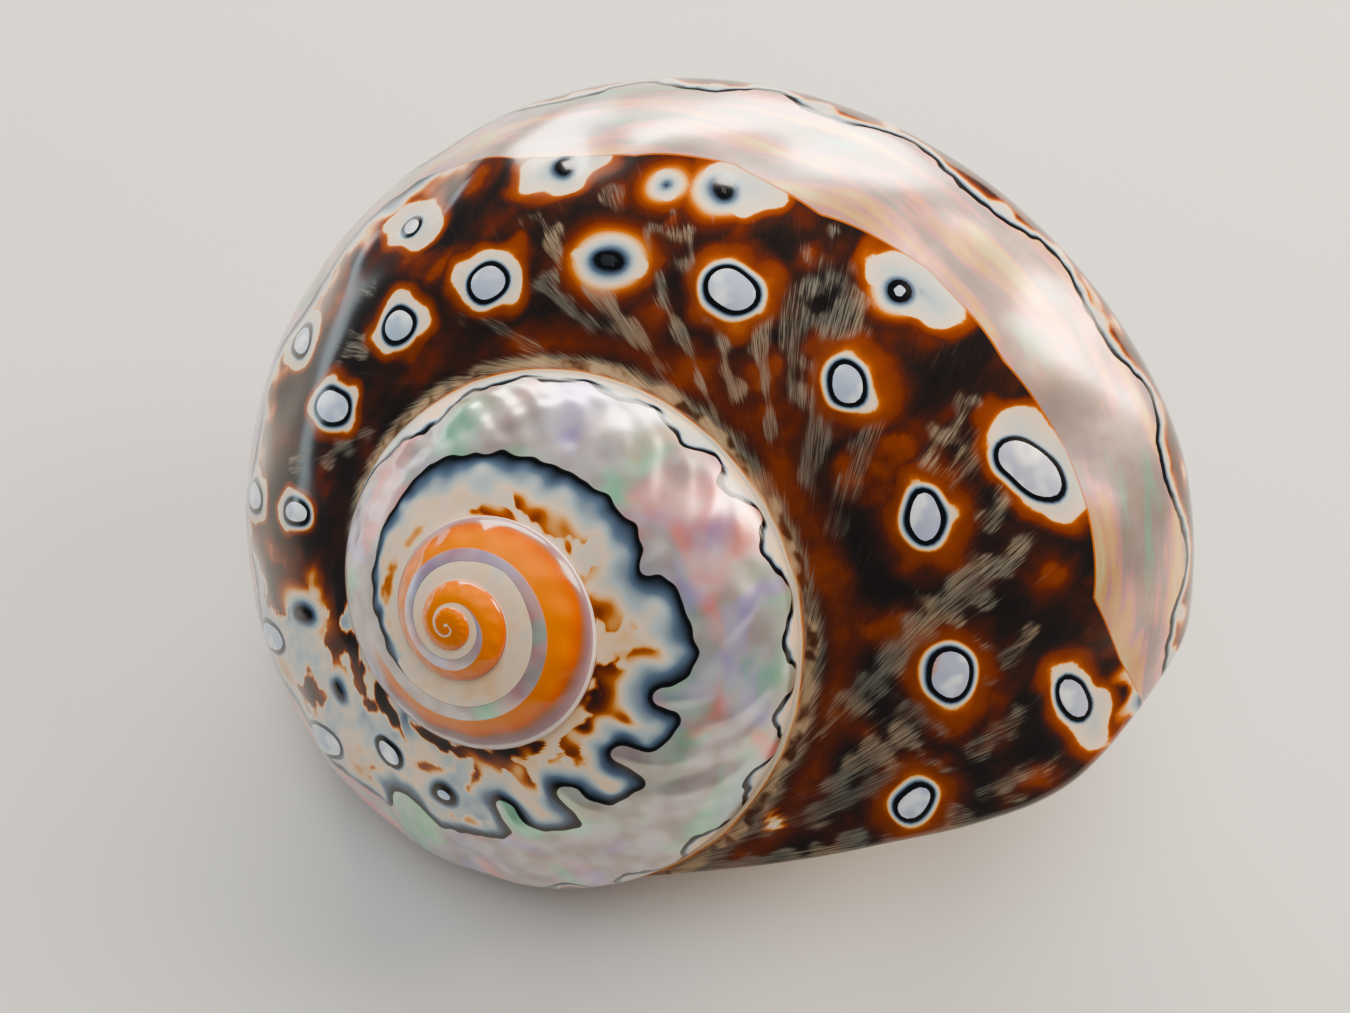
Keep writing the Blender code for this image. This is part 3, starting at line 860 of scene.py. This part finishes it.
def polished_shell():
    """Ground and polished wall: layered brown and cream round clear pearl."""
    material = bpy.data.materials.new("polished_shell")
    material.use_nodes = True
    nodes = Nodes(material.node_tree)
    shader = material.node_tree.nodes["Principled BSDF"]
    where = nodes.add("ShaderNodeTexCoord").outputs["Object"]
    growth = nodes.add("ShaderNodeUVMap", uv_map="growth").outputs["UV"]
    apart = nodes.add("ShaderNodeSeparateXYZ")
    nodes.link(growth, apart.inputs[0])
    turns = apart.outputs[0]

    def ring(distance, ink, steep):
        group = nodes.add("ShaderNodeGroup", node_tree=cut_edge)
        for name, value in (("Distance", distance), ("Ink", ink), ("Steep", steep)):
            nodes.put(group.inputs[name], value)
        return group.outputs["Depth"]

    def halo(distance, rough):
        group = nodes.add("ShaderNodeGroup", node_tree=pale_oval)
        nodes.put(group.inputs["Distance"], nodes.scaled(rough, 0.6, distance))
        return group.outputs["Depth"]

    def along_growth(scales):
        stretch = nodes.add("ShaderNodeMapping")
        stretch.inputs["Scale"].default_value = (*scales, 1.0)
        nodes.link(growth, stretch.inputs["Vector"])
        return nodes.noise(stretch.outputs["Vector"], 1.0, 3.0, 0.6, 0.3)

    # Depth in the layers: on the shoulder, then beyond the keel
    mottle = nodes.math("SUBTRACT", nodes.noise(where, MOTTLE_SCALE, 4.0, 0.6), 0.5)
    ground = nodes.field("ground")
    mottled = nodes.times(mottle, nodes.step(ground, 1.2, 2.2))
    ground = nodes.scaled(mottled, 0.6, ground)
    inside = nodes.least(ground, halo(nodes.field("halo"), mottle))
    pearl_cut = ring(nodes.field("pearl"), nodes.field("ink"), nodes.field("steep"))
    inside = nodes.least(inside, pearl_cut)
    beyond = nodes.step(nodes.field("keel"), -0.02, 0.02)
    clean = nodes.add("ShaderNodeMix", data_type="FLOAT")
    nodes.link(beyond, clean.inputs[0])
    nodes.link(inside, clean.inputs[2])
    clean.inputs[3].default_value = -1.0
    outside = nodes.least(nodes.field("far"), halo(nodes.field("under_halo"), mottle))
    outside = nodes.least(outside, ring(nodes.field("under_pearl"), 1.0, 8.0))
    outside = nodes.least(outside, ring(nodes.field("rim"), 0.8, 1.8))
    depth = nodes.math("MAXIMUM", clean.outputs[0], outside)
    layers = nodes.ramp(nodes.scaled(depth, 0.2, 0.2), LAYER_COLOURS)

    # Scuffed patches, and fine hairs along the growth lines
    streaks = along_growth(STREAK_SCALES)
    hairs = along_growth(HAIR_SCALES)
    worn = nodes.field("worn")
    shown = nodes.scaled(worn, 0.50, streaks)
    covered = nodes.scaled(worn, 0.12, hairs)
    scuffs = nodes.times(nodes.step(shown, 0.58, 1.0), nodes.step(covered, 0.40, 0.75))
    scuffs = nodes.times(scuffs, nodes.step(depth, 1.12, 1.4))
    scuffs = nodes.times(scuffs, nodes.step(nodes.field("halo"), 0.5, 1.1))
    tan = nodes.step(nodes.noise(where, 160.0), 0.4, 0.6)
    grey = nodes.mix(tan, srgb(0.62, 0.56, 0.47), srgb(0.49, 0.49, 0.44))
    hide = nodes.mix(nodes.step(nodes.noise(where, 420.0), 0.46, 0.60),
                     srgb(0.76, 0.66, 0.52), srgb(0.36, 0.22, 0.13))
    grey = nodes.mix(nodes.step(worn, 1.0, 1.4), grey, hide)
    layers = nodes.mix(nodes.times(scuffs, 0.72), layers, grey)
    hair = nodes.times(nodes.step(hairs, 0.52, 0.75), nodes.step(depth, 1.6, 2.6))
    layers = nodes.mix(nodes.times(hair, 0.10), layers, srgb(0.50, 0.32, 0.22))

    # Thin amber line where the clean cut of the keel meets brown
    near_cut = nodes.math("SUBTRACT", nodes.step(nodes.field("keel"), -0.22, -0.10), beyond)
    near_cut = nodes.times(near_cut, nodes.step(inside, 0.7, 1.1))
    near_cut = nodes.times(near_cut, nodes.opposite(nodes.step(outside, -0.6, -0.1)))
    layers = nodes.mix(nodes.times(near_cut, 0.8), layers, srgb(0.76, 0.42, 0.14))

    # Pearl: streaked on the last whorl, bluish in the eyes, where bright spots are painted glints of
    # light
    pearl = nodes.add("ShaderNodeGroup", node_tree=pearl_colours)
    nodes.link(where, pearl.inputs["Place"])
    is_pearl = nodes.opposite(nodes.step(depth, -0.015, 0.015))
    in_eye = nodes.opposite(nodes.step(nodes.field("halo"), -0.05, 0.35))
    in_eye = nodes.times(in_eye, nodes.opposite(beyond))
    streaked = nodes.ramp(along_growth(PEARL_STREAK_SCALES), [
        (0.30, srgb(0.52, 0.70, 0.58)), (0.70, srgb(1.0, 0.93, 0.62)),
        (0.39, srgb(0.66, 0.58, 0.54)), (0.48, srgb(0.70, 0.61, 0.57)),
        (0.53, srgb(0.92, 0.60, 0.58)), (0.59, srgb(1.0, 0.74, 0.40)),
    ])
    last_whorl = nodes.times(nodes.step(turns, -0.46, -0.20), 0.72)
    lustre = nodes.mix(last_whorl, pearl.outputs["Colour"], streaked)
    # Painted highlight: bright white-cyan spots in the eyes' pearl stand in for glints of light
    painted_glint = nodes.step(nodes.noise(where, PAINTED_GLINT_SCALE, 1.0), 0.42, 0.66)
    bead_with_painted_glint = nodes.mix(painted_glint, srgb(0.70, 0.76, 0.86), srgb(0.96, 1.0, 1.0))
    lustre = nodes.mix(nodes.times(in_eye, 0.85), lustre, bead_with_painted_glint)

    # Orange, mauve and white band of the early whorls, which gives way to pearl
    band = nodes.field("band")
    tint = nodes.ramp(nodes.math("DIVIDE", band, 3.0), [
        (0.0, srgb(0.84, 0.46, 0.0)), (1.0, srgb(0.88, 0.83, 0.82)),
        (0.20, srgb(0.82, 0.43, 0.0)), (0.32, srgb(0.76, 0.34, 0.0)),
        (0.38, srgb(0.62, 0.36, 0.20)), (0.50, srgb(0.54, 0.40, 0.41)),
        (0.66, srgb(0.60, 0.47, 0.50)), (0.72, srgb(0.90, 0.84, 0.83)),
    ])
    to_pearl = nodes.times(nodes.step(band, 2.0, 2.5), nodes.step(turns, -1.80, -1.60))
    to_pearl = nodes.math("MAXIMUM", to_pearl, nodes.step(turns, -1.66, -1.58))
    to_pearl = nodes.times(to_pearl, nodes.opposite(nodes.step(band, 3.2, 3.4)))
    is_band = nodes.times(nodes.step(band, -0.03, 0.03), nodes.opposite(to_pearl))

    colour = nodes.mix(is_pearl, layers, lustre)
    nodes.link(nodes.mix(is_band, colour, tint), shader.inputs["Base Color"])
    pearly = nodes.times(is_pearl, nodes.opposite(is_band))
    metal = nodes.scaled(in_eye, -0.35, PEARL_METALLIC)
    nodes.link(nodes.times(pearly, metal), shader.inputs["Metallic"])
    rough = nodes.scaled(pearly, 0.14, POLISHED_ROUGHNESS)
    rough = nodes.scaled(scuffs, 0.30, rough)
    nodes.link(rough, shader.inputs["Roughness"])
    coat = nodes.scaled(scuffs, -0.35, 0.45)
    coat = nodes.math("MAXIMUM", coat, nodes.times(pearly, 0.6))
    nodes.link(coat, shader.inputs["Coat Weight"])
    shader.inputs["Coat Roughness"].default_value = POLISHED_ROUGHNESS
    shader.inputs["IOR"].default_value = 1.48

    ripples = nodes.times(pearl.outputs["Bands"], pearly)
    bump = nodes.add("ShaderNodeBump")
    bump.inputs["Strength"].default_value = 0.20
    bump.inputs["Distance"].default_value = 0.06 * MM
    nodes.link(nodes.scaled(streaks, 0.25, ripples), bump.inputs["Height"])
    nodes.link(bump.outputs["Normal"], shader.inputs["Normal"])
    return material


wall_finish = polished_shell()
for piece in (early_whorls, keeled_whorl, body_whorl, shell_base):
    piece.data.materials.append(wall_finish)
    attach(piece, "root")
    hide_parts("turban_shell")

# Mouth
# The end of the coil: a thick rounded lip that shows the brown layer at its outer
# edge, a swollen white pad on the columella, and the pearly hollow that winds inwards.
LIP_WALL = 0.0030
PARIETAL_WALL = 0.0014
COLUMELLA_WALL = 0.0034
COLUMELLA_POINTS = 40
CALLUS_SWELL = 0.0016
CALLUS_ROWS = 24
EDGE_RINGS = 14
EDGE_TURN = 4.5
HOLLOW_RINGS = 64
HOLLOW_TURN = 222.0
PARIETAL_FADE = 14.0
SMOOTHINGS = 130
BROWN_AT_EDGE = 0.10
PARIETAL_BROWN_TURN = 6.0
WHITE_BAND = 3.5


def moved_back(points, angle):
    """Points taken back along the coil: turned about the axis and shrunk to suit."""
    cosine = np.cos(np.radians(angle))
    sine = np.sin(np.radians(angle))
    x = cosine * points[..., 0] - sine * points[..., 1]
    y = sine * points[..., 0] + cosine * points[..., 1]
    return np.exp(-GROWTH_RATE * angle)[..., None] * np.stack([x, y, points[..., 2]], -1)


def wall_normal(row, columns):
    """Directions out of the wall along one growth line."""
    along, across = slopes(row - lags[columns], places[columns])
    return unit(np.cross(along, across))


def rounded_along(values):
    """Values round a closed loop, each averaged with its neighbours many times."""
    for _ in range(SMOOTHINGS):
        values = (np.roll(values, 1, axis=0) + 2 * values + np.roll(values, -1, axis=0)) / 4
    return values


def closed(values):
    """A grid of loops with the first column repeated at its end."""
    return np.concatenate([values, values[:, :1]], axis=1)


def mouth_rings(lip, columella, parietal):
    """Rings from the lip's edge inwards, then along the coil to a closed end.

    Each ring is the edge moved inwards by a share of the wall, and back along the
    coil. The share goes as a sine and the turn as one less a cosine, so that the lip
    is a quarter round. On the wall of the whorl before, the share eases in slowly.
    """
    edge = np.concatenate([lip, columella, parietal])
    toward = unit(edge.mean(axis=0) - edge)
    pillar = slice(len(lip), len(lip) + len(columella))
    lip_normal = wall_normal(rows_all[GROWTH_STEPS], np.arange(len(places)))
    inner_normal = wall_normal(rows_all[FIRST_OPEN], np.arange(RAMP_COLUMNS, len(places)))
    inward = np.concatenate([-lip_normal, toward[pillar], inner_normal[:0:-1]])
    inward[0] = inner_normal[0] - lip_normal[0]
    wall = np.full(len(edge), PARIETAL_WALL)
    wall[:len(lip)] = LIP_WALL
    wall[pillar] = COLUMELLA_WALL
    slow = np.ones(len(edge))
    slow[:len(lip)] = 0.0
    slow[pillar] = np.linspace(0, 1, len(columella))
    inset = unit(rounded_along(unit(inward) + 0.6 * toward)) * rounded_along(wall)[:, None]
    slow = rounded_along(slow)

    bend = np.linspace(0, math.pi / 2, EDGE_RINGS + 1)
    angle = np.concatenate([EDGE_TURN * (1 - np.cos(bend)),
                            EDGE_TURN + HOLLOW_TURN * np.linspace(0, 1, HOLLOW_RINGS + 1)[1:]])
    share = np.concatenate([np.sin(bend), np.ones(HOLLOW_RINGS)])
    late = ease(0.0, PARIETAL_FADE, angle)
    shares = share[:, None] * (1 - slow) + late[:, None] * slow
    angles = np.broadcast_to(angle[:, None], shares.shape)
    points = moved_back(edge + shares[..., None] * inset, angles)
    points = np.concatenate([points, np.broadcast_to(points[-1].mean(axis=0), points[-1:].shape)])
    into = share[:, None] * (1 - slow) + np.minimum(angle / PARIETAL_BROWN_TURN, 1)[:, None] * slow
    into = np.concatenate([into, into[-1:]])
    brown = BROWN_AT_EDGE - into
    brown = np.where(brown > 0, brown, 2 * brown) * 3.0 * (1 - slow)
    angles = np.concatenate([angles, angles[-1:]])
    return closed(points), closed(brown - 0.5 * slow), closed(angles)


def plain_fields(rim, far, band, angles):
    """Colour fields of a piece that is all pearl but for its rim, or all in one band."""
    fields = no_eyes(rim.shape)
    for key, value in (("ground", 3.0), ("under_pearl", FAR), ("under_halo", FAR),
                       ("keel", 2.0), ("band", band), ("worn", 0.0)):
        fields[key] = np.full(rim.shape, value)
    across = np.broadcast_to(np.linspace(0, 1, rim.shape[1]), rim.shape)
    fields.update({"rim": rim, "far": far, "row": (MOUTH_TURN - angles) / 360.0, "place": across})
    return fields


helix = base_points[::-1, -1]
columella_shares = np.linspace(0, 1, COLUMELLA_POINTS + 1)[1:-1, None]
columella = helix[0] + (helix[-1] - helix[0]) * columella_shares
lip = np.concatenate([lip_points[-1], base_points[-1, 1:]])
start_far = np.concatenate([
    lip_fields["far"][-1], base_fields["far"][-1, 1:], np.full(len(columella), 1.0),
    base_fields["far"][0, :0:-1],
])
ring_points, ring_rim, ring_angles = mouth_rings(lip, columella, base_points[0, :0:-1])
ring_far = np.broadcast_to(np.append(start_far, start_far[0]), ring_rim.shape)
same = numbered(ring_points)
same[:, -1] = same[:, 0]
same[-1, :] = same[-1, 0]
hollow = grid_mesh("lip_and_hollow", at_rest(ring_points),
                   plain_fields(ring_rim, ring_far, -2.0, ring_angles), same)

along = np.linspace(0, 1, len(helix))
shares = np.linspace(0, 1, CALLUS_ROWS + 1)[:, None]
chord = helix[0] + (helix[-1] - helix[0]) * along[:, None]
pad_points = helix * (1 - shares[..., None]) + chord * shares[..., None]
swell = CALLUS_SWELL * np.sin(math.pi * along) * np.sin(math.pi * shares)
pad_points[..., 2] -= swell
pad_rim = np.full(swell.shape, -2.0)
pad = grid_mesh("columella_pad", at_rest(pad_points),
                plain_fields(pad_rim, pad_rim + 3.0, WHITE_BAND, 360 * (1 - along) + 0 * pad_rim),
                numbered(pad_rim))
for piece in (hollow, pad):
    piece.data.materials.append(wall_finish)
    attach(piece, "root")
    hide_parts("turban_shell")

# Studio
# A plain pale floor, warm light from behind and the right, a fill from above that leaves
# no reflection in the polish, and a faint cool light from the left.
stage_mesh = bpy.data.meshes.new("floor")
stage_mesh.from_pydata([(-3, -3, 0), (3, -3, 0), (3, 3, 0), (-3, 3, 0)], [], [(0, 1, 2, 3)])
floor = placed("floor", stage_mesh)
floor_finish = bpy.data.materials.new("pale_floor")
floor_finish.use_nodes = True
floor_shader = floor_finish.node_tree.nodes["Principled BSDF"]
floor_shader.inputs["Base Color"].default_value = srgb(0.80, 0.79, 0.77)
floor_shader.inputs["Roughness"].default_value = 0.8
stage_mesh.materials.append(floor_finish)


def softbox(name, place, size, power, colour):
    """Rectangular area light that faces the shell."""
    light = bpy.data.lights.new(name, "AREA")
    light.shape = "RECTANGLE"
    light.size, light.size_y = size
    light.energy = power
    light.color = colour
    lamp = placed(name, light)
    lamp.location = place
    toward_shell = Vector((0, 0, 0.02)) - Vector(place)
    lamp.rotation_euler = toward_shell.to_track_quat("-Z", "Y").to_euler()
    return lamp


softbox("back_light", (0.02, 0.62, 0.34), (0.70, 0.26), 8.5, (1.0, 0.92, 0.80))
softbox("right_light", (0.55, 0.22, 0.36), (0.30, 0.30), 5.0, (1.0, 0.82, 0.62))
top_light = softbox("top_light", (-0.06, 0.06, 0.80), (0.60, 0.60), 4.2, (0.97, 0.98, 1.0))
top_light.visible_glossy = False
softbox("left_light", (-0.62, 0.26, 0.05), (0.60, 0.08), 0.45, (0.80, 0.95, 1.0))

world = bpy.data.worlds.new("studio")
bpy.context.scene.world = world
world.use_nodes = True
sky = world.node_tree.nodes["Background"]
sky.inputs["Color"].default_value = (0.80, 0.83, 0.88, 1.0)
sky.inputs["Strength"].default_value = 0.24
bpy.context.scene.view_settings.look = "AgX - Medium High Contrast"

camera_data = bpy.data.cameras.new("camera")
camera_data.sensor_width = 36.0
camera_data.lens = 34.67
camera_data.clip_start = 0.01
camera = placed("camera", camera_data)
camera.location = (-0.0018, -0.0470, 0.1223)
camera.rotation_euler = (math.radians(24.22), math.radians(-0.48), math.radians(1.10))
bpy.context.scene.camera = camera
